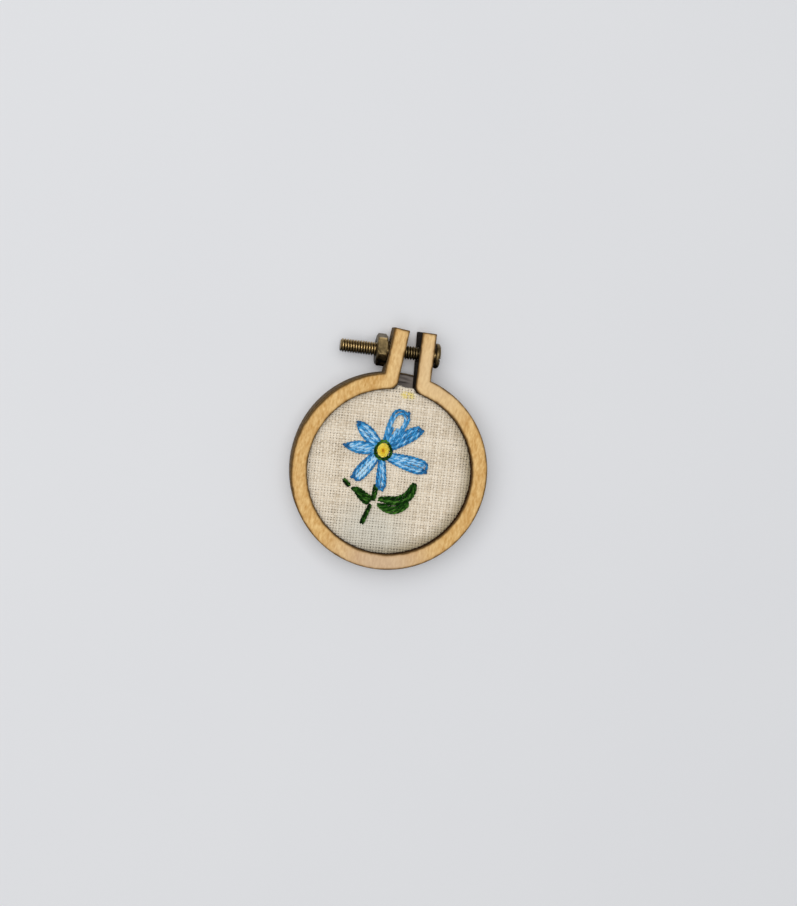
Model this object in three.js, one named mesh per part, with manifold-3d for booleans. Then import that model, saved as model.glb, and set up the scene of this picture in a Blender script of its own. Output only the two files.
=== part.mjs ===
// Mini hoop embroidery: a stitched flower on cotton, stretched over a board in a small wooden hoop.
// Millimetres. +Z points out of the stitched face, and the part lies on its back plate at z = 0.
// The origin is the hoop's centre, +Y runs to the gap in the hoop and +X along the screw to its head.
import * as THREE from 'three';
import { mergeVertices } from 'three/addons/utils/BufferGeometryUtils.js';
import Module from 'manifold-3d';

const wasm = await Module();
wasm.setup();

// Clearance between pieces that lie against each other
const SEAT_GAP = 0.3;

// Hoop, cut from one board: a ring with a gap, and two ears that the screw draws together
const HOOP = { outerR: 15, innerR: 12.4, thick: 3.6, lipR: 1.5 };
const EAR_ROOT_Y = 14;
const EARS = [
  // side: -1 left, 1 right; rootX: inner face at the root; lean: degrees towards the gap
  { side: 1, rootX: 1.2, lean: 4, width: 2.2, length: 7.6 },
  { side: -1, rootX: -1.45, lean: 1.5, width: 2.4, length: 7.4 },
];

// Boards behind the cloth: the back plate was glued on a little high
const PLATE = { r: 14.75, thick: 1.2, x: -0.1, y: 0.25 };
const INSERT_THICK = 1.2;

// Cloth: a stretched sheet whose rim is turned down round the insert board
const CLOTH = { thick: 1, rimR: 0.5 };

// Clamp screw and nut, M2
const SCREW = { shaftR: 0.95, length: 14.5, headR: 1.9, headThick: 0.7, slotWidth: 0.5, slotDepth: 0.35 };
const SCREW_Y = 18.2;
const SCREW_SKEW = 5;
const SCREW_TIP_CHAMFER = 0.3;
const NUT = { acrossFlats: 4.4, thick: 1.6, turn: 15, chamfer: 0.3 };
const HOLE_R = SCREW.shaftR + SEAT_GAP;

// Flower: an oval middle in a green outline, with petals round it
const FLOWER = { x: -1.5, y: 2.9, tilt: 10 };
const MIDDLE = { halfX: 0.8, stretch: 1.25, rise: 0.7 };
const OUTLINE = { innerX: MIDDLE.halfX + SEAT_GAP, width: 0.3, rise: 0.5 };
const PETALS = [
  // turn: degrees clockwise from +Y; length: tip from the flower's middle; widest: share of the petal
  // roundness: 2 is a round tip, 1.2 a pointed one; threads: stitches side by side
  { name: 'petal_1', turn: 15, length: 7, width: 2.7, widest: 0.75, roundness: 2.4, threads: 6 },
  { name: 'petal_2', turn: 49, length: 6.7, width: 2, widest: 0.65, roundness: 1.8, threads: 5 },
  { name: 'petal_3', turn: 102, length: 7.4, width: 2.5, widest: 0.75, roundness: 2.5, threads: 6 },
  { name: 'petal_4', turn: 172, length: 6.1, width: 1.6, widest: 0.8, roundness: 2.2, threads: 4 },
  { name: 'petal_5', turn: 214, length: 6.2, width: 2.1, widest: 0.65, roundness: 2, threads: 5 },
  { name: 'petal_6', turn: 267, length: 6.1, width: 1.9, widest: 0.55, roundness: 1.2, threads: 5 },
  { name: 'petal_7', turn: 307, length: 5.8, width: 2.1, widest: 0.55, roundness: 1.3, threads: 5 },
];
// The first petal is an open loop: its hole, as shares of the petal's length and width
const LOOP_HOLE = { name: 'petal_1', from: 0.5, to: 0.88, width: 0.4 };

// Stems and leaves: the line that each one's stitches follow
const GREENERY = [
  {
    name: 'stem_upper', width: 0.55, widest: 0.4, roundness: 3, threads: 1,
    route: [[-1.9, -2.8], [-1.6, -4.7]],
  },
  {
    name: 'stem_lower', width: 0.7, widest: 0.5, roundness: 3, threads: 1,
    route: [[-1.85, -5.8], [-2.55, -8.7]],
  },
  {
    name: 'leaf_left_tip', width: 0.75, widest: 0.5, roundness: 2, threads: 2,
    route: [[-6.5, -2.6], [-5.6, -3.2]],
  },
  {
    name: 'leaf_left', width: 1.4, widest: 0.65, roundness: 2, threads: 3,
    route: [[-5.1, -3.7], [-3.6, -4.2], [-2.4, -5]],
  },
  {
    name: 'leaf_right', width: 2.7, widest: 0.36, roundness: 1.5, threads: 6,
    route: [[-0.8, -4.8], [1.4, -5.2], [3.6, -4], [4.3, -1.1]],
  },
];

// Stitched pads: a low edge, a crown, a ridge for each thread, and blunt ends
const PAD = { edge: 0.2, crown: 0.3, ridge: 0.08, endWidth: 0.65, swell: 1.4, steps: 10, pointsPerThread: 2 };

// Levels above the surface that the part lies on
const HOOP_Z = PLATE.thick + SEAT_GAP;
const HOOP_TOP = HOOP_Z + HOOP.thick;
const INSERT_TOP = HOOP_Z + INSERT_THICK;
const CLOTH_UNDER = INSERT_TOP + SEAT_GAP;
const CLOTH_TOP = CLOTH_UNDER + CLOTH.thick;
const STITCH_Z = CLOTH_TOP + SEAT_GAP;
const SCREW_Z = (HOOP_Z + HOOP_TOP) / 2;

const radians = THREE.MathUtils.degToRad;
const ROUND_STEPS = 72;

// Points of an arc, from one angle to another
function arc(centre, r, from, to, steps) {
  const curve = new THREE.EllipseCurve(centre.x, centre.y, r, r, from, to, to < from);
  return curve.getPoints(steps);
}

// How far along a line, from a point, it leaves a circle round the origin
function reachOfCircle(point, direction, r) {
  const along = point.dot(direction);
  return Math.sqrt(along * along - point.lengthSq() + r * r) - along;
}

// A closed mesh as a solid that can be joined and cut
function toSolid(geometry) {
  const plain = geometry.clone();
  plain.deleteAttribute('normal');
  plain.deleteAttribute('uv');
  const merged = mergeVertices(plain, 1e-4);
  const corners = merged.index.array;
  const triangles = [];
  for (let i = 0; i < corners.length; i += 3) {
    const [a, b, c] = corners.slice(i, i + 3);
    if (a !== b && b !== c && c !== a) triangles.push(a, b, c);
  }
  const vertProperties = merged.attributes.position.array;
  return new wasm.Manifold(new wasm.Mesh({ numProp: 3, vertProperties, triVerts: Uint32Array.from(triangles) }));
}

function toGeometry(solid) {
  const mesh = solid.getMesh();
  const geometry = new THREE.BufferGeometry();
  geometry.setAttribute('position', new THREE.BufferAttribute(mesh.vertProperties, 3));
  geometry.setIndex(new THREE.BufferAttribute(mesh.triVerts, 1));
  return geometry;
}

// A closed outline raised to a thickness
function board(points, thick, z) {
  const geometry = new THREE.ExtrudeGeometry(new THREE.Shape(points), { depth: thick, bevelEnabled: false });
  return geometry.translate(0, 0, z);
}

function disc(r, thick, z) {
  const rim = arc(new THREE.Vector2(), r, 0, 2 * Math.PI, ROUND_STEPS);
  return board(rim.slice(0, -1), thick, z);
}

// A profile of [radius, height] pairs turned round +Z
function turned(profile, steps) {
  const points = profile.map(([r, z]) => new THREE.Vector2(r, z));
  return new THREE.LatheGeometry(points, steps).rotateX(Math.PI / 2);
}

// Places a piece that was made along +Z on the screw's line, with its foot at a distance along the line
function onScrewLine(geometry, distance, turn = 0) {
  geometry.rotateZ(radians(turn)).translate(0, 0, distance).rotateY(Math.PI / 2);
  return geometry.rotateZ(radians(SCREW_SKEW)).translate(0, SCREW_Y, SCREW_Z);
}

// One ear: its corners, the rounded lip at the gap, and where it leaves the ring
function ear({ side, rootX, lean, width, length }) {
  const up = new THREE.Vector2(-side * Math.sin(radians(lean)), Math.cos(radians(lean)));
  const out = new THREE.Vector2(side * up.y, -side * up.x);
  const root = new THREE.Vector2(rootX, EAR_ROOT_Y);
  const from = (across, along) => root.clone().addScaledVector(out, across).addScaledVector(up, along);
  const lipCentre = from(HOOP.lipR, reachOfCircle(from(HOOP.lipR, 0), up, HOOP.innerR + HOOP.lipR));
  return {
    lipCentre,
    gapAngle: Math.atan2(-out.y, -out.x),
    ringAngle: Math.atan2(-lipCentre.y, -lipCentre.x),
    innerTop: from(0, length),
    outerTop: from(width, length),
    leaves: from(width, reachOfCircle(from(width, 0), up, HOOP.outerR)),
    outerFaceX: (y) => from(width, 0).x + ((y - EAR_ROOT_Y) * up.x) / up.y,
  };
}

const [rightEar, leftEar] = EARS.map(ear);

function hoopRing() {
  const fullTurn = 2 * Math.PI;
  const middle = new THREE.Vector2();
  const lipSteps = 6;
  const points = [
    rightEar.leaves,
    rightEar.outerTop,
    rightEar.innerTop,
    ...arc(rightEar.lipCentre, HOOP.lipR, rightEar.gapAngle + fullTurn, rightEar.ringAngle + fullTurn, lipSteps),
    ...arc(middle, HOOP.innerR, rightEar.lipCentre.angle(), leftEar.lipCentre.angle() - fullTurn, ROUND_STEPS)
      .slice(1, -1),
    ...arc(leftEar.lipCentre, HOOP.lipR, leftEar.ringAngle, leftEar.gapAngle, lipSteps),
    leftEar.innerTop,
    leftEar.outerTop,
    ...arc(middle, HOOP.outerR, leftEar.leaves.angle(), rightEar.leaves.angle() + fullTurn, ROUND_STEPS)
      .slice(0, -1),
  ];
  const drill = new THREE.CylinderGeometry(HOLE_R, HOLE_R, HOOP.outerR, 24).rotateX(Math.PI / 2);
  return toGeometry(toSolid(board(points, HOOP.thick, HOOP_Z)).subtract(toSolid(onScrewLine(drill, 0))));
}

function cloth() {
  const outerR = HOOP.innerR - SEAT_GAP;
  const innerR = outerR - CLOTH.thick;
  const rim = arc(new THREE.Vector2(outerR - CLOTH.rimR, CLOTH_TOP - CLOTH.rimR), CLOTH.rimR, 0, Math.PI / 2, 5);
  const profile = [
    [0, CLOTH_UNDER],
    [innerR, CLOTH_UNDER],
    [innerR, HOOP_Z],
    [outerR, HOOP_Z],
    ...rim.map((p) => [p.x, p.y]),
    [0, CLOTH_TOP],
  ];
  return turned(profile, ROUND_STEPS);
}

// Screw: its head bears on the right ear, and its tip runs out past the nut
const HEAD_AT = rightEar.outerFaceX(SCREW_Y) + SEAT_GAP;
const TIP_AT = HEAD_AT - SCREW.length;

function screw() {
  const { shaftR, length, headR, headThick, slotWidth, slotDepth } = SCREW;
  const domeR = headThick * 0.6;
  const dome = arc(new THREE.Vector2(headR - domeR, length + headThick - domeR), domeR, 0, Math.PI / 2, 5);
  const body = turned([
    [0, 0],
    [shaftR - SCREW_TIP_CHAMFER, 0],
    [shaftR, SCREW_TIP_CHAMFER],
    [shaftR, length],
    [headR, length],
    ...dome.map((p) => [p.x, p.y]),
    [0, length + headThick],
  ], 24);
  const slot = new THREE.BoxGeometry(3 * headR, slotWidth, 2 * slotDepth).translate(0, 0, length + headThick);
  const cut = toSolid(body).subtract(toSolid(slot));
  return onScrewLine(toGeometry(cut), TIP_AT);
}

function nut() {
  const cornerR = NUT.acrossFlats / 2 / Math.cos(Math.PI / 6);
  const hexagon = arc(new THREE.Vector2(), cornerR, 0, 2 * Math.PI, 6).slice(0, -1);
  const flatsR = NUT.acrossFlats / 2;
  const barrel = turned([
    [0, 0],
    [flatsR, 0],
    [cornerR + SEAT_GAP, NUT.chamfer],
    [cornerR + SEAT_GAP, NUT.thick - NUT.chamfer],
    [flatsR, NUT.thick],
    [0, NUT.thick],
  ], 24);
  const bore = new THREE.CylinderGeometry(HOLE_R, HOLE_R, 3 * NUT.thick, 24).rotateX(Math.PI / 2);
  const solid = toSolid(board(hexagon, NUT.thick, 0)).intersect(toSolid(barrel)).subtract(toSolid(bore));
  const earFace = leftEar.outerFaceX(SCREW_Y);
  return onScrewLine(toGeometry(solid), earFace - SEAT_GAP - NUT.thick, NUT.turn);
}

// Width of a stitched pad along its length: it swells from a blunt end and closes at its tip
function padWidth(t, width, widest, roundness) {
  const end = Math.min(PAD.endWidth, 0.8 * width);
  if (t < widest) return end + (width - end) * Math.sin((Math.PI * t) / (2 * widest)) ** PAD.swell;
  const past = (t - widest) / (1 - widest);
  return end / 2 + (width - end / 2) * (1 - past ** roundness) ** (1 / roundness);
}

// Stitches laid side by side along a line: flat underneath, crowned and ridged by the threads on top
function stitchedPad({ route, width, widest, roundness, threads }) {
  const line = new THREE.CatmullRomCurve3(route.map(([x, y]) => new THREE.Vector3(x, y, 0)));
  const across = threads * PAD.pointsPerThread;
  const row = across + 3;
  const positions = [];
  const faces = [];
  for (let i = 0; i <= PAD.steps; i++) {
    const t = i / PAD.steps;
    const centre = line.getPointAt(t);
    const along = line.getTangentAt(t);
    const half = padWidth(t, width, widest, roundness) / 2;
    const ends = 1 - (2 * t - 1) ** 8 / 2;
    const place = (v, z) => positions.push(centre.x + along.y * half * v, centre.y - along.x * half * v, z);
    for (let j = 0; j <= across; j++) {
      const v = (2 * j) / across - 1;
      const ridge = PAD.ridge * (j % PAD.pointsPerThread === 0 ? -1 : 1);
      place(v, STITCH_Z + PAD.edge + (PAD.crown * Math.sqrt(1 - v * v) + Math.max(ridge, -PAD.edge / 2)) * ends);
    }
    place(1, STITCH_Z);
    place(-1, STITCH_Z);
  }
  const quad = (a, b, c, d) => faces.push(a, b, c, a, c, d);
  for (let i = 0; i < PAD.steps; i++) {
    for (let j = 0; j < row; j++) {
      const here = i * row + j;
      const beside = i * row + ((j + 1) % row);
      quad(here, beside, beside + row, here + row);
    }
  }
  const last = PAD.steps * row;
  for (let j = 0; j < row - 2; j++) {
    faces.push(row - 1, j + 1, j);
    faces.push(last + row - 1, last + j, last + j + 1);
  }
  const geometry = new THREE.BufferGeometry();
  geometry.setAttribute('position', new THREE.Float32BufferAttribute(positions, 3));
  geometry.setIndex(faces);
  return geometry;
}

// The flower's outline reaches this far from its middle, in a direction clockwise from +Y
function outlineReach(turn) {
  const a = radians(turn + FLOWER.tilt);
  const outerX = OUTLINE.innerX + OUTLINE.width;
  return outerX / Math.hypot(Math.sin(a), Math.cos(a) / MIDDLE.stretch);
}

function petal(row) {
  const way = new THREE.Vector2(Math.sin(radians(row.turn)), Math.cos(radians(row.turn)));
  const at = (distance) => [FLOWER.x + way.x * distance, FLOWER.y + way.y * distance];
  const start = outlineReach(row.turn) + SEAT_GAP;
  const pad = stitchedPad({ ...row, route: [at(start), at(row.length)] });
  if (row.name !== LOOP_HOLE.name) return pad;
  const along = (share) => start + share * (row.length - start);
  const middle = (along(LOOP_HOLE.from) + along(LOOP_HOLE.to)) / 2;
  const halfLength = (along(LOOP_HOLE.to) - along(LOOP_HOLE.from)) / 2;
  const hole = new THREE.CylinderGeometry(1, 1, CLOTH_TOP, 16).rotateX(Math.PI / 2)
    .scale((row.width / 2) * LOOP_HOLE.width, halfLength, 1)
    .rotateZ(-radians(row.turn))
    .translate(...at(middle), STITCH_Z);
  return toGeometry(toSolid(pad).subtract(toSolid(hole)));
}

// An oval piece of the flower's middle, turned from a round one
function oval(profile) {
  return turned(profile, 28).scale(1, MIDDLE.stretch, 1)
    .rotateZ(radians(FLOWER.tilt)).translate(FLOWER.x, FLOWER.y, STITCH_Z);
}

function flowerMiddle() {
  const dome = arc(new THREE.Vector2(), 1, 0, Math.PI / 2, 6);
  const crown = dome.map((p) => [p.x * MIDDLE.halfX, PAD.edge + p.y * (MIDDLE.rise - PAD.edge)]);
  return oval([[0, 0], [MIDDLE.halfX, 0], ...crown]);
}

function flowerOutline() {
  const inner = OUTLINE.innerX;
  const outer = inner + OUTLINE.width;
  const top = (inner + outer) / 2;
  return oval([[inner, 0], [outer, 0], [outer, PAD.edge], [top, OUTLINE.rise], [inner, PAD.edge], [inner, 0]]);
}

// Finishes
const finish = (color, roughness, metalness = 0) => () => new THREE.MeshStandardMaterial({ color, roughness, metalness });
const wood = finish('#d8b27a', 0.6);
const cotton = finish('#d6cbb4', 0.95);
const blueThread = finish('#4f93cc', 0.8);
const greenThread = finish('#244f1e', 0.8);
const yellowThread = finish('#e6b81e', 0.8);
const antiqueBrass = finish('#6b5a32', 0.4, 1);

const hoopEmbroidery = new THREE.Group();
hoopEmbroidery.name = 'hoop_embroidery';

function add(name, geometry, material) {
  const mesh = new THREE.Mesh(geometry, material());
  mesh.name = name;
  hoopEmbroidery.add(mesh);
}

add('hoop_ring', hoopRing(), wood);
add('back_plate', disc(PLATE.r, PLATE.thick, 0).translate(PLATE.x, PLATE.y, 0), wood);
add('insert_board', disc(HOOP.innerR - 2 * SEAT_GAP - CLOTH.thick, INSERT_THICK, HOOP_Z), wood);
add('cloth', cloth(), cotton);
PETALS.forEach((row) => add(row.name, petal(row), blueThread));
add('flower_outline', flowerOutline(), greenThread);
add('flower_middle', flowerMiddle(), yellowThread);
GREENERY.forEach((row) => add(row.name, stitchedPad(row), greenThread));
add('screw', screw(), antiqueBrass);
add('nut', nut(), antiqueBrass);

export default hoopEmbroidery;
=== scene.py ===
"""The looks of a mini hoop embroidery: a stitched flower on cotton, in a laser-cut wooden hoop.

Sizes are millimetres in the part's own frame, and MM turns them into Blender's metres.
"""

import math

import bpy
import numpy as np
from mathutils import Matrix, Vector


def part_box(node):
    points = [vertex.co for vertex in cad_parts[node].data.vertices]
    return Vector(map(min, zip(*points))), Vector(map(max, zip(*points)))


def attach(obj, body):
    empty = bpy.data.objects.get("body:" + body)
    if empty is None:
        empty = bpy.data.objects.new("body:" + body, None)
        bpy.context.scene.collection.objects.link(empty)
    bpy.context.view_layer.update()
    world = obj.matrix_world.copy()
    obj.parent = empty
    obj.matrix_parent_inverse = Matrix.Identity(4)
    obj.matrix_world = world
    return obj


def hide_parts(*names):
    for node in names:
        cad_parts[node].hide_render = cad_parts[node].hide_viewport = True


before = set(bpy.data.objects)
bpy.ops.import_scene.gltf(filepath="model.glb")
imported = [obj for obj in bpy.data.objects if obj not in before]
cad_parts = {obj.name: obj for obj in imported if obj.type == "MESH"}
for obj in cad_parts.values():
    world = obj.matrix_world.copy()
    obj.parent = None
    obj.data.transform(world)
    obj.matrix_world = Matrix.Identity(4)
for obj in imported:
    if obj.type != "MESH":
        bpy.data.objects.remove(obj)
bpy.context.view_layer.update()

MM = 0.001
rng = np.random.default_rng(7)


# Sizes from the frame

def levels(node):
    """Lowest and highest z of a node."""
    low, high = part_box(node)
    return low.z / MM, high.z / MM


HOOP_LOW, HOOP_TOP = levels("hoop_ring")
PLATE_LOW, PLATE_TOP = levels("back_plate")
PLATE_BOX = np.array(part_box("back_plate")) / MM
PLATE_R = (PLATE_BOX[1, 0] - PLATE_BOX[0, 0]) / 2
PLATE_MIDDLE = (PLATE_BOX[0, :2] + PLATE_BOX[1, :2]) / 2
CLOTH_LOW, CLOTH_TOP = levels("cloth")

# Hoop: a ring with a gap and two ears, cut from one board
OUTER_R = 15.0
INNER_R = 12.55
INNER_MIDDLE = np.array([0.08, -0.07])
LIP_R = 1.5
EAR_ROOT_Y = 14.0
LEFT_EAR = dict(side=-1, root_x=-1.45, lean=1.5, width=2.4, length=7.4)
RIGHT_EAR = dict(side=1, root_x=1.2, lean=4.0, width=2.2, length=7.6)
SANDED_EDGE = 0.1
SOFT_SCORCH = 0.16
HARD_SCORCH = 0.11
BURNT_SIDE = math.radians(150)
BURNT_EXTRA = 0.27
HARD_EXTRA = 0.05
EAR_TWIST = 0.45
EAR_SPAN = math.radians(24)
DRILL_REACH = 8
# Edge value that tells walls in the ring and its gap, which are painted darker as shade, from those outside,
# which have 0
INNER_WALL = -0.12

WOOD_SHADE_AND_TINT = [
    # where the face is tinted, how far from there it fades, and its tint: greyer low on the ring as painted
    # shade, and paler towards the top
    ((1.5, -14.0, HOOP_TOP), 11, "#d1b9a3"),
    ((5.0, 16.5, HOOP_TOP), 11, "#ecd0a4"),
]

# Screw line: where it crosses the part's middle, and its slant from +X
SCREW_Y = 18.2
SCREW_Z = (HOOP_LOW + HOOP_TOP) / 2
SCREW_SLANT = math.radians(5)
SCREW_LENGTH = 14.5
SHAFT_R = 0.95
THREAD_R = 1.03
THREAD_ROOT_R = 0.78
THREAD_PITCH = 0.4
HEAD_R = 1.9
HEAD_THICK = 0.7
SLOT_WIDTH = 0.5
SLOT_DEPTH = 0.35
SLOT_TURN = math.radians(20)
TIP_SLOPE = 1.2
ROOT_WEAR = 0.35
SHAFT_WEAR = 1.6
HEAD_WEAR = 0.5
# Share of brightness kept between the ears, where the screw is painted darker as shade
LIT_SHARE_BETWEEN_EARS = 0.35
HOLE_R = 1.25
NUT_FLATS_R = 2.2
NUT_THICK = 1.6
NUT_TURN = math.radians(15)
NUT_CHAMFER = 0.3
BORE_PLAY = 0.06
BORE_CHAMFER = 0.1

# Cotton: spacing of the threads, and how the sheet turns down round the board
WARP_PITCH = 0.46
WEFT_PITCH = 0.4
WEAVE_TURN = math.radians(5.5)
WARP_HALF_WIDE = 0.2
WEFT_HALF_WIDE = 0.185
YARN_HALF_THICK = 0.09
YARN_WANDER = 0.012
YARN_DRIFT = 0.02
CLOTH_RIM_R = 0.12
GAP_BULGE = 0.4
GAP_HALF_ANGLE = 6.3
DRAWN_UP_LEFT = 0.012
DRAWN_UP_RIGHT = 0.008
CLOTH_MIDDLE = CLOTH_TOP - 2 * YARN_HALF_THICK
# Middle of a painted soft grey shadow low on the cloth
LOW_SHADE_PATCH = (-1.0, -11.0, CLOTH_TOP)
YELLOW_MARK = (0.55, 11.8, CLOTH_TOP)
# Painted shade along the cloth's rim: how far in it reaches, and the side where it is strongest
RIM_SHADE_REACH = 1.9
RIM_SHADE_SIDE = math.radians(-25)

# Flower
FLOWER = np.array([-1.5, 2.9])
FLOWER_TILT = math.radians(10)
MIDDLE_HALF = np.array([0.97, 1.16])
STRAND_R = 0.24
STRAND_SPACING = 1.7 * STRAND_R
OUTLINE_HEIGHT = 0.2
FILL_HEIGHT = 0.32
TIE_HEIGHT = 0.4
PLY_CONTRAST = 0.32
PETAL_START = 1.15
DARK_ENDS = 0.3
TIE_TONE = 0.0
PETALS = [
    # turn: degrees clockwise from +Y; length from the flower's middle; widest: share of the length
    # roundness: 2 is a round tip, 1.2 a pointed one; tip: width where it ends
    # base: width where it starts; shift: how far its start lies to the right of the petal's line
    # loops: threads in the outline; fill: threads inside it
    # fill_end: share of the length that the fill reaches; rim, core: shade of outline and fill
    # tie, tie_side: how far the end stitch goes past the tip, and beside the petal's line
    dict(name="petal_1", turn=17, length=6.9, width=3.0, widest=0.75, roundness=2.4, tip=0.6,
         base=1.5, shift=0.0, loops=2, fill=2, fill_end=0.5, rim=0.4, core=0.5, tie=-0.05, tie_side=0.75),
    dict(name="petal_2", turn=50, length=6.7, width=2.0, widest=0.65, roundness=1.8, tip=1.1,
         base=1.5, shift=0.0, loops=1, fill=3, fill_end=0.92, rim=0.25, core=0.35, tie=0.05, tie_side=0.35),
    dict(name="petal_3", turn=102, length=7.4, width=2.5, widest=0.75, roundness=2.1, tip=0.9,
         base=1.4, shift=0.55, loops=1, fill=4, fill_end=0.97, rim=0.2, core=0.95, tie=-0.05, tie_side=0.5),
    dict(name="petal_4", turn=172, length=6.1, width=1.65, widest=0.8, roundness=2.2, tip=0.6,
         base=0.95, shift=0.1, loops=1, fill=2, fill_end=0.9, rim=0.2, core=0.6, tie=0.0, tie_side=-0.25),
    dict(name="petal_5", turn=214, length=6.2, width=2.1, widest=0.65, roundness=2.0, tip=1.0,
         base=1.5, shift=0.2, loops=1, fill=3, fill_end=0.95, rim=0.15, core=1.0, tie=0.05, tie_side=0.5),
    dict(name="petal_6", turn=267, length=6.0, width=2.0, widest=0.55, roundness=1.3, tip=0.5,
         base=1.5, shift=0.0, loops=1, fill=3, fill_end=0.85, rim=0.28, core=0.8, tie=0.0, tie_side=0.05),
    dict(name="petal_7", turn=307, length=5.8, width=2.1, widest=0.55, roundness=1.4, tip=0.8,
         base=1.5, shift=0.0, loops=1, fill=3, fill_end=0.94, rim=0.2, core=0.65, tie=0.0, tie_side=0.05),
]
GREENERY = [
    # route: the line that the stitches follow; base: width at its start; threads: how many side by side
    # a leaf of two bands has two rows
    dict(name="stem_upper", route=[(-1.5, -2.4), (-1.5, -4.8)],
         base=0.7, width=0.9, widest=0.3, roundness=3, threads=2),
    dict(name="stem_lower", route=[(-1.75, -5.5), (-2.5, -8.65)],
         base=0.6, width=0.85, widest=0.7, roundness=3, threads=2),
    dict(name="leaf_left_tip", route=[(-6.5, -2.55), (-5.5, -3.3)],
         base=0.65, width=0.85, widest=0.5, roundness=2, threads=2),
    dict(name="leaf_left", route=[(-5.2, -3.7), (-4.3, -3.7), (-3.3, -4.35), (-2.0, -5.1)],
         base=0.45, width=1.75, widest=0.85, roundness=2.5, threads=4),
    dict(name="leaf_right", route=[(-0.9, -4.5), (0.6, -4.35), (2.3, -4.15), (3.7, -3.1), (4.3, -1.15)],
         base=0.75, width=1.65, widest=0.62, roundness=2, threads=4),
    dict(name="leaf_right", route=[(-0.8, -5.3), (0.4, -5.55), (1.8, -5.5), (3.0, -4.9), (3.9, -4.2)],
         base=0.55, width=1.8, widest=0.55, roundness=2, threads=4),
]

# Photograph's view: a camera above the part, a little to its left and towards the ears
CAMERA_AT = (-29.57, 15.12, 213.97)
CAMERA_TURN = (-4.89, -7.42, 11.79)
CAMERA_LENS = 55.63

# Stage: a wide card, a small lamp, a wide ceiling and a pale room
CARD_HALF = 900
LIGHTS = [
    dict(name="lamp", at=(-100, 60, 850), size=250, power=1.2),
    dict(name="ceiling", at=(-210, 110, 850), size=1100, power=6.5),
]
ROOM_COLOUR = "#f4f5f8"
ROOM_STRENGTH = 0.215


# Materials

def linear(hex_colour):
    """A screen colour such as #d1a86a as linear red, green, blue and alpha."""
    channels = [int(hex_colour[i:i + 2], 16) / 255 for i in (1, 3, 5)]
    return [c / 12.92 if c <= 0.04045 else ((c + 0.055) / 1.055) ** 2.4 for c in channels] + [1.0]


def new_material(name, uniform):
    """A material, its node tree and its shader, with the shader's uniform values set."""
    made = bpy.data.materials.new(name)
    made.use_nodes = True
    shader = made.node_tree.nodes["Principled BSDF"]
    for socket, value in uniform.items():
        shader.inputs[socket].default_value = value
    return made, made.node_tree, shader


def add(tree, kind, inputs=None, **settings):
    """Adds a shader node. Settings are its options; inputs are values, or sockets to link."""
    made = tree.nodes.new("ShaderNode" + kind)
    for option, value in settings.items():
        setattr(made, option, value)
    for socket, value in (inputs or {}).items():
        if isinstance(value, bpy.types.NodeSocket):
            tree.links.new(value, made.inputs[socket])
        else:
            made.inputs[socket].default_value = value
    return made


def per_mm(*sizes):
    """Texture scales that repeat a pattern every so many millimetres along x, y and z."""
    return [1 / (size * MM) for size in sizes]


def object_place(tree):
    """Where a point lies in the part's frame."""
    return add(tree, "TexCoord").outputs["Object"]


def attribute(tree, name):
    """The value that a mesh holds at each point under a name."""
    return add(tree, "Attribute", attribute_name=name).outputs["Fac"]


def noise(tree, place, sizes, detail):
    """A noise pattern, its sizes in millimetres along x, y and z."""
    scaled = add(tree, "Mapping", {"Vector": place, "Scale": per_mm(*sizes)}).outputs[0]
    return add(tree, "TexNoise", {"Vector": scaled, "Scale": 1.0, "Detail": detail}).outputs[0]


def spread(tree, value, low, high, to_low=0.0, to_high=1.0, **settings):
    """A range of a value, spread over another range and held at its ends."""
    ranges = {"Value": value, "From Min": low, "From Max": high, "To Min": to_low, "To Max": to_high}
    return add(tree, "MapRange", ranges, **settings).outputs[0]


def maths(tree, operation, *values, **settings):
    """One step of arithmetic on values or sockets."""
    return add(tree, "Math", dict(enumerate(values)), operation=operation, **settings).outputs[0]


def vector_maths(tree, operation, *values):
    """One step of arithmetic on vectors or their sockets."""
    return add(tree, "VectorMath", dict(enumerate(values)), operation=operation).outputs


def mix(tree, share, first, second):
    """A mix of two colours, by the share of the second. Each is a screen colour or a socket."""
    ends = [linear(colour) if isinstance(colour, str) else colour for colour in (first, second)]
    return add(tree, "Mix", {0: share, 6: ends[0], 7: ends[1]}, data_type="RGBA").outputs[2]


def link_values(tree, shader, sockets):
    """Links sockets to a shader's inputs by name."""
    for name, socket in sockets.items():
        tree.links.new(socket, shader.inputs[name])


def set_bump(tree, shader, height, strength, depth):
    """Gives a shader fine relief, its depth in millimetres."""
    bump = add(tree, "Bump", {"Height": height, "Strength": strength, "Distance": depth * MM})
    link_values(tree, shader, {"Normal": bump.outputs[0]})


def near_place(tree, place, at, full, none, share):
    """A share that is whole up to a distance from a place, in millimetres, and none from a larger one."""
    away = vector_maths(tree, "DISTANCE", place, [c * MM for c in at])["Value"]
    return spread(tree, away, full * MM, none * MM, share, 0.0, interpolation_type="SMOOTHSTEP")


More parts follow.
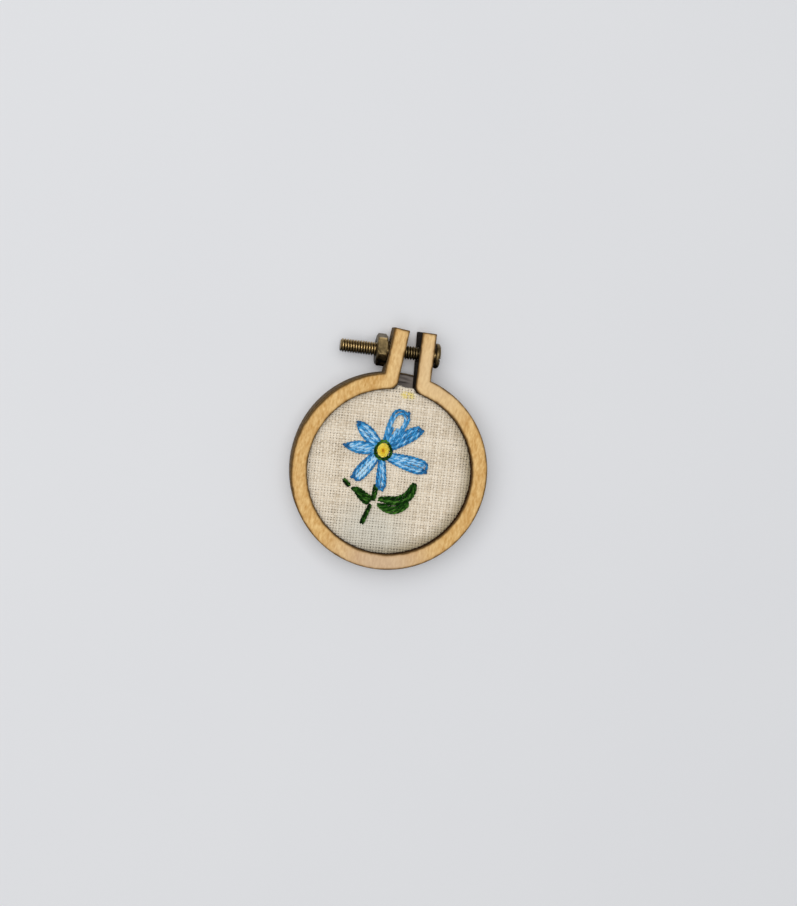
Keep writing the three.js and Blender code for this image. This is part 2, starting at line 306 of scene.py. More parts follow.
def laser_cut_board(name, face, streak, burn="#5a3f19", smoke_and_shade_at=None):
    """Basswood plywood, laser cut and sanded: a pale face with fine grain, scorched along every cut."""
    made, tree, shader = new_material(name, {"Roughness": 0.6, "IOR": 1.5})
    place = object_place(tree)
    # Grain runs along y: broad bands, and short flecks in them
    bands = noise(tree, place, (1.6, 9, 6), 3.0)
    streaks = noise(tree, place, (0.3, 0.8, 0.8), 4.0)
    grain = maths(tree, "MULTIPLY_ADD", bands, 0.5, streaks)
    wood = mix(tree, spread(tree, grain, 0.5, 1.0), face, streak)
    # Painted shade greys the face low on the ring; towards the top it is paler
    for at, reach, tint in WOOD_SHADE_AND_TINT:
        wood = mix(tree, near_place(tree, place, at, 1, reach, 0.6), wood, tint)
    # Scorch: a dark line at the cut that fades over the face, wider in some places
    edge = attribute(tree, "edge")
    wander = noise(tree, place, (1.1, 1.1, 1.1), 2.0)
    depth = maths(tree, "ADD", edge, spread(tree, wander, 0.3, 0.7, -0.06, 0.06))
    toasted = mix(tree, spread(tree, depth, 0.3, 0.7, 0.4, 0.0), wood, "#b08346")
    # Fume stain and painted shade where the board shows in the gap between the ears
    if smoke_and_shade_at:
        toasted = smoked_and_shaded(tree, place, toasted, smoke_and_shade_at)
    scorch = spread(tree, depth, 0.2, 0.46, 1.0, 0.0)
    on_wall = spread(tree, depth, 0.08, 0.2, 1.0, 0.0)
    # Cut walls: charred, with upright marks of the beam. Those inside the ring are painted darker as shade,
    # blackest in the gap between the ears, and those outside are paler
    marks = noise(tree, place, (0.3, 0.3, 5), 2.0)
    along_y = add(tree, "SeparateXYZ", {0: place}).outputs[1]
    in_gap = spread(tree, along_y, 11 * MM, 14 * MM)
    shaded_char = mix(tree, marks, "#110905", mix(tree, in_gap, "#55320f", "#2c2520"))
    outer_char = mix(tree, marks, "#33271a", "#846b48")
    wall = mix(tree, spread(tree, edge, INNER_WALL, 0.0), shaded_char, outer_char)
    burnt = mix(tree, on_wall, burn, wall)
    link_values(tree, shader, {
        "Base Color": mix(tree, scorch, toasted, burnt),
        "Specular IOR Level": spread(tree, scorch, 0.0, 1.0, 0.3, 0.03)})
    relief = add(tree, "Mix", {0: scorch, 2: streaks, 3: marks}).outputs[0]
    set_bump(tree, shader, relief, 0.5, 0.03)
    return made


def smoked_and_shaded(tree, place, wood, at):
    """Wood round a place in the gap between the ears, greyed and darkened in streaks, less to the right:
    stained by fumes from the cutting, and painted shade of the gap.
    """
    streaks = noise(tree, place, (4, 0.5, 2), 3.0)
    along_x = add(tree, "SeparateXYZ", {0: place}).outputs[0]
    strength = spread(tree, along_x, 0.2 * MM, 1.2 * MM, 1.0, 0.3)
    share = maths(tree, "MULTIPLY", spread(tree, streaks, 0.35, 0.65), strength)
    smoke_and_shade = mix(tree, share, "#938880", "#2f2622")
    return mix(tree, near_place(tree, place, at, 2.2, 4, 1.0), wood, smoke_and_shade)


def unbleached_cotton():
    """Plain-weave cotton, unbleached: matt cream yarns, some paler and some darker, with a soft fuzz, and
    painted shade low on it and along its rim.
    """
    made, tree, shader = new_material("unbleached_cotton", {
        "Roughness": 0.9, "IOR": 1.5, "Specular IOR Level": 0.2, "Sheen Weight": 0.15,
        "Sheen Roughness": 0.6})
    place = object_place(tree)
    blots = noise(tree, place, (0.8, 0.8, 0.8), 3.0)
    share = maths(tree, "MULTIPLY", attribute(tree, "tone"), blots)
    cream = mix(tree, share, "#fdf2df", "#c3af90")
    # Painted shade: a soft grey shadow over the lower part of the cloth
    yarn = mix(tree, near_place(tree, place, LOW_SHADE_PATCH, 2, 9, 0.6), cream, "#d2d1c6")
    # A flecked yellow mark on the cloth below the gap, wider than it is high
    from_mark = vector_maths(tree, "SUBTRACT", place, [c * MM for c in YELLOW_MARK])[0]
    stretched = vector_maths(tree, "MULTIPLY", from_mark, (0.5, 0.9, 0.5))[0]
    away = vector_maths(tree, "LENGTH", stretched)["Value"]
    near = spread(tree, away, 0.3 * MM, 0.75 * MM, 1.0, 0.0, interpolation_type="SMOOTHSTEP")
    flecks = noise(tree, place, (0.35, 0.35, 0.35), 1.0)
    stain = maths(tree, "MULTIPLY", near, spread(tree, flecks, 0.36, 0.54))
    marked = mix(tree, stain, yarn, "#f0dc86")
    # Painted shade along the rim, where the cloth turns down beside the ring's wall, strongest on the lower
    # right
    link_values(tree, shader, {"Base Color": mix(tree, attribute(tree, "rim_shade"), marked, "#8c7b50")})
    set_bump(tree, shader, noise(tree, place, (0.06, 0.06, 0.06), 2.0), 0.4, 0.02)
    return made


def cotton_thread(name, dark, middle, light, gloss):
    """Mercerised cotton thread: a soft gloss along its twist, dyed unevenly from a dark to a light shade."""
    made, tree, shader = new_material(name, {
        "Roughness": 0.6, "IOR": 1.5, "Specular IOR Level": gloss, "Sheen Weight": 0.2 * gloss,
        "Sheen Roughness": 0.5})
    place = object_place(tree)
    dye = noise(tree, place, (0.7, 0.7, 0.7), 2.0)
    shade = maths(tree, "ADD", attribute(tree, "tone"), spread(tree, dye, 0.3, 0.7, -0.25, 0.25))
    ramp = add(tree, "ValToRGB", {"Fac": shade})
    ramp.color_ramp.elements[0].color = linear(dark)
    ramp.color_ramp.elements[1].color = linear(light)
    ramp.color_ramp.elements.new(0.5).color = linear(middle)
    link_values(tree, shader, {"Base Color": ramp.outputs[0]})
    set_bump(tree, shader, noise(tree, place, (0.05, 0.05, 0.05), 2.0), 0.4, 0.02)
    return made


def antique_brass():
    """Brass darkened in a bath and tumbled: brown-black in the hollows, worn to brass on the edges, with
    painted light on its upper side and painted shade below.
    """
    made, tree, shader = new_material("antique_brass", {"Metallic": 1.0})
    patches = noise(tree, object_place(tree), (0.5, 0.5, 0.5), 4.0)
    uneven = spread(tree, patches, 0.3, 0.7, -0.2, 0.2)
    # The mesh value holds worn edges and painted light: lighter on the upper side, darker below and between
    # the ears
    bright = maths(tree, "ADD", attribute(tree, "wear_and_light"), uneven, use_clamp=True)
    link_values(tree, shader, {
        "Base Color": mix(tree, bright, "#17130c", "#a89063"),
        "Roughness": spread(tree, bright, 0.0, 1.0, 0.5, 0.28)})
    set_bump(tree, shader, patches, 0.3, 0.02)
    return made


def white_paper():
    """A sheet of matt white card under the part, with hardly any tooth."""
    made, tree, shader = new_material("white_paper", {
        "Roughness": 0.85, "IOR": 1.45, "Specular IOR Level": 0.2})
    clouds = noise(tree, object_place(tree), (40, 40, 40), 2.0)
    link_values(tree, shader, {"Base Color": mix(tree, clouds, "#e9eaec", "#e6e7ea")})
    return made


# Mesh making

def make_object(name, points, faces, material, values=None, sharp=None):
    """A mesh object from points in millimetres, with named values at each, smooth but for sharp edges."""
    mesh = bpy.data.meshes.new(name)
    mesh.from_pydata((np.asarray(points) * MM).tolist(), [], faces)
    mesh.shade_smooth()
    if sharp:
        mesh.set_sharp_from_angle(angle=math.radians(sharp))
    mesh.materials.append(material)
    made = bpy.data.objects.new(name, mesh)
    for key, numbers in (values or {}).items():
        set_values(made, key, numbers)
    bpy.context.scene.collection.objects.link(made)
    return made


def joined(parts):
    """Several (points, faces, values) as one, their faces renumbered."""
    points, faces, values, count = [], [], [], 0
    for part_points, part_faces, part_values in parts:
        points.append(part_points)
        faces.extend([[i + count for i in face] for face in part_faces])
        values.append(part_values)
        count += len(part_points)
    return np.concatenate(points), faces, np.concatenate(values)


def grid_faces(rows, columns, closed=True, capped=True):
    """Faces of rings of points, one ring after the other, with a cap at each end."""
    here = np.arange(rows - 1)[:, None] * columns + np.arange(columns if closed else columns - 1)[None, :]
    beside = np.arange(rows - 1)[:, None] * columns + (np.arange(here.shape[1])[None, :] + 1) % columns
    quads = np.stack([here, beside, beside + columns, here + columns], -1).reshape(-1, 4).tolist()
    if capped:
        last = (rows - 1) * columns
        quads += [list(range(columns))[::-1], list(range(last, last + columns))]
    return quads


def lengths_along(line):
    """Distance along a line of points, from its start."""
    return np.concatenate([[0], np.cumsum(np.linalg.norm(np.diff(line, axis=0), axis=1))])


def spaced(line, count):
    """A line's points, spaced evenly along it."""
    line = np.asarray(line, float)
    along = lengths_along(line)
    at = np.linspace(0, along[-1], count)
    return np.stack([np.interp(at, along, line[:, k]) for k in range(line.shape[1])], 1)


def smooth_line(points, count=60):
    """A smooth line through a few points: a cubic between each two, led by the points beside them."""
    p = np.asarray(points, float)
    p = np.vstack([2 * p[0] - p[1], p, 2 * p[-1] - p[-2]])
    t = np.linspace(0, 1, 16, endpoint=False)[:, None]
    pieces = []
    for a, b, c, d in zip(p, p[1:], p[2:], p[3:]):
        pieces.append(0.5 * (2 * b + (c - a) * t + (2 * a - 5 * b + 4 * c - d) * t ** 2
                             + (3 * b - a - 3 * c + d) * t ** 3))
    return spaced(np.vstack([*pieces, p[-2:-1]]), count)


def sides_of(line, ups):
    """Directions across a line of points: sideways, and up as far as the line lets it."""
    along = np.gradient(line, axis=0)
    along /= np.linalg.norm(along, axis=1, keepdims=True)
    side = np.cross(along, ups)
    side /= np.linalg.norm(side, axis=1, keepdims=True)
    return side, np.cross(side, along)


def tube(line, half_wide, half_thick, sides, ups=(0.0, 0.0, 1.0)):
    """Points and faces of a closed tube along a line, oval where its two half sizes differ."""
    side, up = sides_of(line, np.broadcast_to(ups, line.shape))
    turn = np.linspace(0, 2 * np.pi, sides, endpoint=False)
    wide = np.broadcast_to(half_wide, len(line))[:, None, None]
    thick = np.broadcast_to(half_thick, len(line))[:, None, None]
    rings = (line[:, None, :] + side[:, None, :] * np.cos(turn)[None, :, None] * wide
             + up[:, None, :] * np.sin(turn)[None, :, None] * thick)
    return rings.reshape(-1, 3), grid_faces(len(line), sides)


def turned(profile, steps):
    """Points and faces of a profile of (radius, height) turned round z, from the axis at both ends."""
    turn = np.linspace(0, 2 * np.pi, steps, endpoint=False)
    r, z = np.asarray(profile, float).T
    ring = np.stack([np.outer(r, np.cos(turn)), np.outer(r, np.sin(turn)), np.outer(z, np.ones(steps))], -1)
    return ring.reshape(-1, 3), grid_faces(len(r), steps)


def on_screw_line(points, distance, turn=0.0):
    """Moves points made along z onto the screw's line, at a distance along it."""
    move = (Matrix.Translation((0, SCREW_Y, SCREW_Z)) @ Matrix.Rotation(SCREW_SLANT, 4, "Z")
            @ Matrix.Rotation(math.pi / 2, 4, "Y") @ Matrix.Translation((0, 0, distance))
            @ Matrix.Rotation(turn, 4, "Z"))
    m = np.array(move)
    return points @ m[:3, :3].T + m[:3, 3]


def cut_away(piece, *tools):
    """Cuts tools out of a piece, and removes them."""
    for tool in tools:
        cut = piece.modifiers.new("cut", "BOOLEAN")
        cut.object = tool
        cut.operation = "DIFFERENCE"
        cut.solver = "EXACT"
    bpy.context.view_layer.update()
    mesh = bpy.data.meshes.new_from_object(piece.evaluated_get(bpy.context.evaluated_depsgraph_get()))
    piece.modifiers.clear()
    piece.data = mesh
    for tool in tools:
        bpy.data.objects.remove(tool)


def set_values(piece, key, numbers):
    """Sets a named value at each point of a piece's mesh."""
    found = piece.data.attributes.get(key) or piece.data.attributes.new(key, "FLOAT", "POINT")
    found.data.foreach_set("value", np.asarray(numbers, np.float32))


def points_of(piece):
    """A piece's points, in millimetres."""
    points = np.empty(len(piece.data.vertices) * 3, np.float32)
    piece.data.vertices.foreach_get("co", points)
    return points.reshape(-1, 3) / MM


# Hoop

def reach_of_circle(point, direction, r):
    """How far along a line, from a point given from a circle's middle, it leaves the circle."""
    along = point @ direction
    return math.sqrt(along ** 2 - point @ point + r ** 2) - along


def polar(r, angles):
    """Points in the plane at a radius and at angles from +X."""
    return np.stack([r * np.cos(angles), r * np.sin(angles)], -1)


def ear_edges(side, root_x, lean, width, length):
    """Outer and inner edge of an ear, from its top into the ring, and the ring angle where they end."""
    lean = math.radians(lean)
    up = np.array([-side * math.sin(lean), math.cos(lean)])
    out = np.array([side * up[1], -side * up[0]])

    def at(across, along):
        """A point so far across and along the ear."""
        return np.array([root_x, EAR_ROOT_Y]) + across * out + along * up

    lip = at(LIP_R, reach_of_circle(at(LIP_R, 0) - INNER_MIDDLE, up, INNER_R + LIP_R))
    to_lip = lip - INNER_MIDDLE
    leaves = at(width, reach_of_circle(at(width, 0), up, OUTER_R))
    meet = math.pi / 2 - side * EAR_SPAN
    gap_angle = math.atan2(-out[1], -out[0])
    sweep = (math.atan2(-to_lip[1], -to_lip[0]) - gap_angle + math.pi) % (2 * math.pi) - math.pi
    lip_arc = lip + polar(LIP_R, np.linspace(gap_angle, gap_angle + sweep, 24))
    inner_arc = INNER_MIDDLE + polar(INNER_R, np.linspace(math.atan2(to_lip[1], to_lip[0]), meet, 24))
    outer_arc = polar(OUTER_R, np.linspace(math.atan2(leaves[1], leaves[0]), meet, 28))
    steps = np.concatenate([[0, SANDED_EDGE / length], np.linspace(0.04, 1, 16)])[:, None]
    outer = np.vstack([at(width, length) * (1 - steps) + leaves * steps, outer_arc[1:]])
    inner = np.vstack([at(0, length) * (1 - steps) + lip_arc[0] * steps,
                       spaced(np.vstack([lip_arc, inner_arc[1:]]), 28)[1:]])
    return outer, inner, meet


def hoop_section():
    """Rows round the hoop's section: share of the way from outer to inner edge, shift inwards, height."""
    quarter = np.linspace(0, math.pi / 2, 4)
    shift = SANDED_EDGE * (1 - np.cos(quarter))
    drop = SANDED_EDGE * (1 - np.sin(quarter))
    wall = np.linspace(HOOP_TOP - SANDED_EDGE, HOOP_LOW + SANDED_EDGE, 7)[1:-1]
    face = [0.2, 0.35, 0.5, 0.65, 0.8]
    rows = [(0, s, HOOP_TOP - d) for s, d in zip(shift, drop)]
    rows += [(share, 0, HOOP_TOP) for share in face]
    rows += [(1, -s, HOOP_TOP - d) for s, d in zip(shift[::-1], drop[::-1])]
    rows += [(1, 0, z) for z in wall]
    rows += [(1, -s, HOOP_LOW + d) for s, d in zip(shift, drop)]
    rows += [(share, 0, HOOP_LOW) for share in face[::-1]]
    rows += [(0, s, HOOP_LOW + d) for s, d in zip(shift[::-1], drop[::-1])]
    rows += [(0, 0, z) for z in wall[::-1]]
    return np.array(rows)


def distance_to_line(points, line):
    """Distance of points in the plane from a line of points."""
    best = np.full(len(points), np.inf)
    for a, b in zip(line, line[1:]):
        step = b - a
        t = np.clip((points - a) @ step / max(step @ step, 1e-12), 0, 1)
        best = np.minimum(best, np.linalg.norm(points - a - t[:, None] * step, axis=1))
    return best


def hoop_ring(material):
    """The ring and its ears: the section swept between outer and inner edge, then drilled."""
    left_outer, left_inner, left_meet = ear_edges(**LEFT_EAR)
    right_outer, right_inner, right_meet = ear_edges(**RIGHT_EAR)
    round_it = np.linspace(left_meet, right_meet + 2 * math.pi, 260)[1:-1]
    outer = np.vstack([left_outer, polar(OUTER_R, round_it), right_outer[::-1]])
    inner = np.vstack([left_inner, INNER_MIDDLE + polar(INNER_R, round_it), right_inner[::-1]])
    across = (inner - outer) / np.linalg.norm(inner - outer, axis=1, keepdims=True)
    shrink = np.zeros(len(outer))
    shrink[[0, -1]] = SANDED_EDGE
    rows = hoop_section()
    low_outer = outer + across * shrink[:, None]
    low_inner = inner - across * shrink[:, None]
    share, shift, z = rows[:, 0], rows[:, 1], rows[:, 2]
    flat = (low_outer[:, None] * (1 - share)[None, :, None] + low_inner[:, None] * share[None, :, None]
            + across[:, None] * shift[None, :, None])
    heights = np.clip(z[None, :], HOOP_LOW + shrink[:, None], HOOP_TOP - shrink[:, None])
    points = np.concatenate([flat, heights[:, :, None]], -1).reshape(-1, 3)
    # The right ear is twisted: its underside leans into the gap, most at its end
    up_ear = np.clip((points[:, 1] - EAR_ROOT_Y) / RIGHT_EAR["length"], 0, 1)
    twist = EAR_TWIST * up_ear * (points[:, 0] > 0)
    points[:, 0] -= twist * (HOOP_TOP - points[:, 2]) / (HOOP_TOP - HOOP_LOW)
    faces = [face[::-1] for face in grid_faces(len(outer), len(rows))]
    ring = make_object("hoop_wood_ring", points, faces, material)
    for_screw, drill_faces = turned([(HOLE_R, -DRILL_REACH), (HOLE_R, DRILL_REACH)], 48)
    drill = make_object("drill", on_screw_line(for_screw, 0), drill_faces, material)
    cut_away(ring, drill)
    ring.data.shade_smooth()
    ring.data.set_sharp_from_angle(angle=math.radians(40))
    at = points_of(ring)
    hard_cut = np.vstack([outer[0], inner, outer[-1]])
    burnt_side = np.clip(np.cos(np.arctan2(at[:, 1], at[:, 0]) - BURNT_SIDE), 0, 1) ** 2
    from_outer = distance_to_line(at[:, :2], outer)
    from_hard = distance_to_line(at[:, :2], hard_cut)
    away = np.minimum(from_hard + HARD_SCORCH + HARD_EXTRA * burnt_side,
                      from_outer + SOFT_SCORCH - BURNT_EXTRA * burnt_side)
    on_face = np.abs(at[:, 2] - SCREW_Z) > (HOOP_TOP - HOOP_LOW) / 2 - 0.9 * SANDED_EDGE
    on_wall = np.where(from_hard < from_outer, INNER_WALL, 0)
    set_values(ring, "edge", np.where(on_face, away, on_wall))
    return ring


def round_board(name, middle, r, low, top, material):
    """A round board with sanded edges."""
    e = SANDED_EDGE
    rings = np.concatenate([np.linspace(0.05, 0.9, 8) * r, [r - 0.6, r - 0.3, r - e]])
    profile = [(x, low) for x in rings] + [(r - 0.3 * e, low + 0.3 * e), (r, low + e)]
    profile += [(r, low + 0.5 * (top - low)), (r, top - e), (r - 0.3 * e, top - 0.3 * e)]
    profile += [(x, top) for x in rings[::-1]]
    points, faces = turned(profile, 160)
    flat = np.hypot(points[:, 0], points[:, 1])
    points[:, :2] += middle
    board = make_object(name, points, faces, material, sharp=40)
    on_face = (points[:, 2] < low + e / 4) | (points[:, 2] > top - e / 4)
    set_values(board, "edge", np.where(on_face, r - flat, 0))
    return board


# Cloth

def rim_start():
    """Radius where the cloth begins to turn down. Its yarns are pressed against the ring."""
    return INNER_R - 1.3 * YARN_HALF_THICK - CLOTH_RIM_R


def on_sheet(flat, lift):
    """Places flat points of the cloth on the stretched sheet, which turns down round its rim."""
    away = np.maximum(np.linalg.norm(flat, axis=1), 1e-6)
    from_gap = np.degrees(np.arctan2(flat[:, 0], flat[:, 1]))
    at_gap = np.exp(-(from_gap / GAP_HALF_ANGLE) ** 8)
    # In the gap it bulges, and is drawn up at the lips, more at the left one
    drawn_up = np.where(from_gap > 0, DRAWN_UP_RIGHT, DRAWN_UP_LEFT) * from_gap ** 2
    rim_starts = rim_start() + (GAP_BULGE + drawn_up) * at_gap
    bend = CLOTH_RIM_R * math.pi / 2
    angle = np.clip(away - rim_starts, 0, bend) / CLOTH_RIM_R
    down = np.maximum(away - rim_starts - bend, 0)
    r = np.minimum(away, rim_starts) + CLOTH_RIM_R * np.sin(angle)
    z = CLOTH_MIDDLE - CLOTH_RIM_R * (1 - np.cos(angle)) - down
    out = flat / away[:, None]
    normal = np.concatenate([out * np.sin(angle)[:, None], np.cos(angle)[:, None]], 1)
    place = np.concatenate([INNER_MIDDLE + out * r[:, None], z[:, None]], 1)
    return place + normal * lift[:, None], normal


def cut_radius():
    """Radius of the cloth's flat cut: across its face, over its rim and down to its hem."""
    return rim_start() + CLOTH_RIM_R * math.pi / 2 + (CLOTH_MIDDLE - CLOTH_RIM_R - CLOTH_LOW)


def rim_shade_at(points):
    """Share of painted shade on the cloth: along its rim, where it turns down beside the ring, most on one
    side.
    """
    from_rim = (INNER_R - np.linalg.norm(points[:, :2] - INNER_MIDDLE, axis=1)) / RIM_SHADE_REACH
    side = np.arctan2(points[:, 1], points[:, 0]) - RIM_SHADE_SIDE
    return 0.8 * np.clip(1 - from_rim, 0, 1) * np.clip(1.3 * np.cos(side), 0, 1)


def yarns(name, own_pitch, other_pitch, turn, over, half_wide, material):
    """All the yarns of one direction: each goes over and under the yarns that cross it."""
    steps = 3
    radius = cut_radius()
    count = int(radius / own_pitch)
    way = np.array([math.cos(turn), math.sin(turn)])
    across = np.array([-way[1], way[0]])
    parts = []
    for i in range(-count, count + 1):
        off = i * own_pitch + rng.normal(0, YARN_WANDER)
        half = math.sqrt(radius ** 2 - off ** 2)
        n = max(int(2 * half / other_pitch * steps), 4)
        s = np.linspace(-half, half, n)
        wave = np.cos(math.pi * s / other_pitch) * (-1) ** i * over
        drift = YARN_DRIFT * np.sin(s * rng.uniform(0.3, 0.8) + rng.uniform(0, 6))
        flat = s[:, None] * way + (off + drift)[:, None] * across
        line, normal = on_sheet(flat, wave * YARN_HALF_THICK)
        slub = rng.normal(1, 0.07) * (1 + 0.08 * np.sin(s * rng.uniform(0.5, 1.5) + rng.uniform(0, 6)))
        points, faces = tube(line, half_wide * slub, YARN_HALF_THICK * slub, 6, normal)
        parts.append((points, faces, np.full(len(points), rng.uniform(0.3, 1.0))))
    points, faces, tones = joined(parts)
    return make_object(name, points, faces, material, {"tone": tones, "rim_shade": rim_shade_at(points)})


# Stitches

def plied(line, radius, phase, tone, pitch=1.15, plies=2, sides=5):
    """A strand of thread along a line: plies that wind round each other, each a closed tube."""
    count = max(int(lengths_along(line)[-1] / pitch * 8), 6)
    line = spaced(line, count)
    side, up = sides_of(line, np.broadcast_to((0.0, 0.0, 1.0), line.shape))
    wind = 2 * np.pi * lengths_along(line) / pitch + phase
    parts = []
    for k in range(plies):
        turn = (wind + 2 * np.pi * k / plies)[:, None]
        points, faces = tube(line + (side * np.cos(turn) + up * np.sin(turn)) * radius * 0.45,
                             radius * 0.6, radius * 0.6, sides)
        parts.append((points, faces, np.full(len(points), tone + PLY_CONTRAST * (k - 0.5))))
    return joined(parts)


def laid(flat, height, dive=0.3, steep=6):
    """Lifts a flat line onto the cloth: up through it at one end, and down through it at the other."""
    t = np.linspace(-1, 1, len(flat))
    z = CLOTH_TOP - dive + (height + dive) * (1 - np.abs(t) ** steep)
    return np.concatenate([flat, z[:, None]], 1)


def strand(flat, height, tone, steep=6):
    """One strand stitched along a flat line, with a little slack and its own shade."""
    flat = spaced(flat, 40)
    sway = np.sin(np.linspace(0, rng.uniform(4, 9), 40) + rng.uniform(0, 6)) * 0.02
    line = laid(flat + sway[:, None], height + rng.uniform(-0.03, 0.05), steep=steep)
    return plied(line, STRAND_R * rng.uniform(0.92, 1.08), rng.uniform(0, 6), tone + rng.normal(0, 0.2))


def pad_width(t, width, widest, roundness, base=0.65, tip=0.6, swell=1.0):
    """Width of a petal or leaf along its length: it swells from a blunt end and closes at its tip."""
    base = min(base, 0.8 * width)
    rise = base + (width - base) * np.sin(np.pi * np.minimum(t, widest) / (2 * widest)) ** swell
    past = np.clip((t - widest) / (1 - widest), 0, 1)
    close = tip + (width - tip) * (1 - past ** roundness) ** (1 / roundness)
    return np.where(t < widest, rise, close)


def petal(name, turn, length, width, widest, roundness, tip, base, shift, loops, fill, fill_end,
          rim, core, tie, tie_side, material):
    """A petal: an outline of looped strands, straight stitches inside, and a stitch that ties its tip."""
    turn = math.radians(turn)
    way = np.array([math.sin(turn), math.cos(turn)])
    right = np.array([way[1], -way[0]])
    reach = length - PETAL_START

    def at(t, off):
        """Points at shares of the length, and so far to the right."""
        return FLOWER + np.outer(PETAL_START + t * reach, way) + np.outer(off + shift * (1 - t), right)

    def half_width(t):
        """Half the width at shares of the length."""
        return pad_width(t, width, widest, roundness, base, tip) / 2

    parts = []
    t = np.linspace(0, 1, 40)
    for k in range(loops):
        inset = (k + 0.5) * STRAND_SPACING
        half = np.maximum(half_width(t) - inset, 0.08)
        t_in = t * (1 - inset / reach)
        loop = spaced(np.vstack([at(t_in, -half), at(t_in[::-1], half[::-1])]), 120)
        line = laid(loop, OUTLINE_HEIGHT + 0.1 * k, steep=16)
        parts.append(plied(line, STRAND_R, rng.uniform(0, 6), rim + 0.15 * k))
    for k in range(fill):
        lean = (k + 0.5) / fill * 2 - 1
        run = np.linspace(rng.uniform(0, 0.05), fill_end * rng.uniform(0.9, 1.02), 30)
        half = np.maximum(half_width(run) - loops * STRAND_SPACING * 0.8, 0.06)
        parts.append(strand(at(run, lean * half), FILL_HEIGHT, core, steep=12))
    tied = np.linspace(1 - 0.4 / reach, 1 + tie / reach, 12)
    parts.append(strand(at(tied, np.full(12, tie_side)), TIE_HEIGHT, TIE_TONE, steep=8))
    points, faces, tones = joined(parts)
    # Its two ends are darker than its middle
    along = ((points[:, :2] - FLOWER) @ way - PETAL_START) / reach
    tones = tones - DARK_ENDS * np.interp(along, [0, 0.3, 0.75, 1], [0.7, 0, 0, 1])
    return make_object(name, points, faces, material, {"tone": tones})


def greenery(name, bands, material):
    """A stem or leaf: bands of strands side by side."""
    parts = []
    for band in bands:
        line = smooth_line(band["route"])
        along = np.gradient(line, axis=0)
        along /= np.linalg.norm(along, axis=1, keepdims=True)
        right = np.stack([along[:, 1], -along[:, 0]], 1)
        t = np.linspace(0, 1, len(line))
        width = pad_width(t, band["width"], band["widest"], band["roundness"], band["base"])
        half = np.maximum(width / 2 - STRAND_R, 0.03)
        for k, lean in enumerate(np.linspace(-1, 1, band["threads"])):
            first = rng.uniform(0, 0.06) if band["threads"] > 2 else 0.0
            crown = 0.2 + 0.15 * (1 - lean ** 2)
            flat = (line + right * (half * lean)[:, None])[t >= first]
            parts.append(strand(flat, crown, 0.75 * ((k + 1) * 0.618 % 1), steep=10))
    points, faces, tones = joined(parts)
    return make_object(name, points, faces, material, {"tone": tones})


def oval_line(half, start, stop, count):
    """Part of an oval round the flower's middle."""
    a = np.radians(np.linspace(start, stop, count))
    flat = np.stack([half[0] * np.cos(a), half[1] * np.sin(a)], 1)
    c, s = math.cos(FLOWER_TILT), math.sin(FLOWER_TILT)
    return FLOWER + flat @ np.array([[c, s], [-s, c]])


def flower_outline(material):
    """Short stitches end to end round the flower's middle."""
    stitches = 7
    parts = []
    for k in range(stitches):
        start = 360 / stitches * k
        line = oval_line(MIDDLE_HALF + rng.uniform(0.12, 0.28), start - 3, start + 360 / stitches + 3, 16)
        parts.append(strand(line, 0.4, 0.35, steep=4))
    points, faces, tones = joined(parts)
    return make_object("flower_outline_stitches", points, faces, material, {"tone": tones})


def flower_middle(material):
    """A knot wound of yellow thread: an oval coil, higher towards its dimple, and painted darker and more
    orange there as shade.
    """
    turns = 3.4
    a = np.linspace(0, 1, 160)
    inwards = 1 - 0.85 * a
    winding = zip(inwards, 360 * turns * a)
    coil = np.stack([oval_line((MIDDLE_HALF - 0.12) * k, w, w, 1)[0] for k, w in winding])
    dome = 0.45 * np.sqrt(1 - inwards ** 2) - 0.25 * np.clip(a - 0.8, 0, 1) / 0.2
    line = np.concatenate([coil, (CLOTH_TOP + 0.15 + dome)[:, None]], 1)
    wound = plied(line, 0.22, 0.0, 0.5, pitch=1.1)
    # The turns beneath: a low dome that the coil lies on
    shares = np.linspace(0.05, 1, 8)
    rings = [np.column_stack([oval_line(MIDDLE_HALF * s, 0, 345, 24),
                              np.full(24, CLOTH_TOP + 0.4 * math.sqrt(1 - s ** 2))]) for s in shares]
    under = (np.vstack(rings), grid_faces(8, 24), np.zeros(8 * 24))
    points, faces, _ = joined([wound, under])
    # Painted shade: darker and more orange towards the dimple in its middle
    from_dimple = np.linalg.norm(points[:, :2] - FLOWER, axis=1)
    tones = np.interp(from_dimple, [0.15, 0.45, 0.9], [0.05, 0.6, 0.9])
    return make_object("flower_middle_knot", points, faces, material, {"tone": tones})


# Screw and nut

def screw_along(node_x):
    """Distance along the screw's line of a point whose x is known."""
    return node_x / math.cos(SCREW_SLANT)


def lit_side(points, reach):
    """Painted light: a share that is high on the side that faces up and out, where light falls, and low on
    the side near the ring and below, painted dark as shade.
    """
    line_y = SCREW_Y + points[:, 0] * math.tan(SCREW_SLANT)
    outwards = (0.64 * (points[:, 1] - line_y) + 0.77 * (points[:, 2] - SCREW_Z)) / reach
    return np.clip(0.1 + 0.9 * outwards, 0.02, 1)


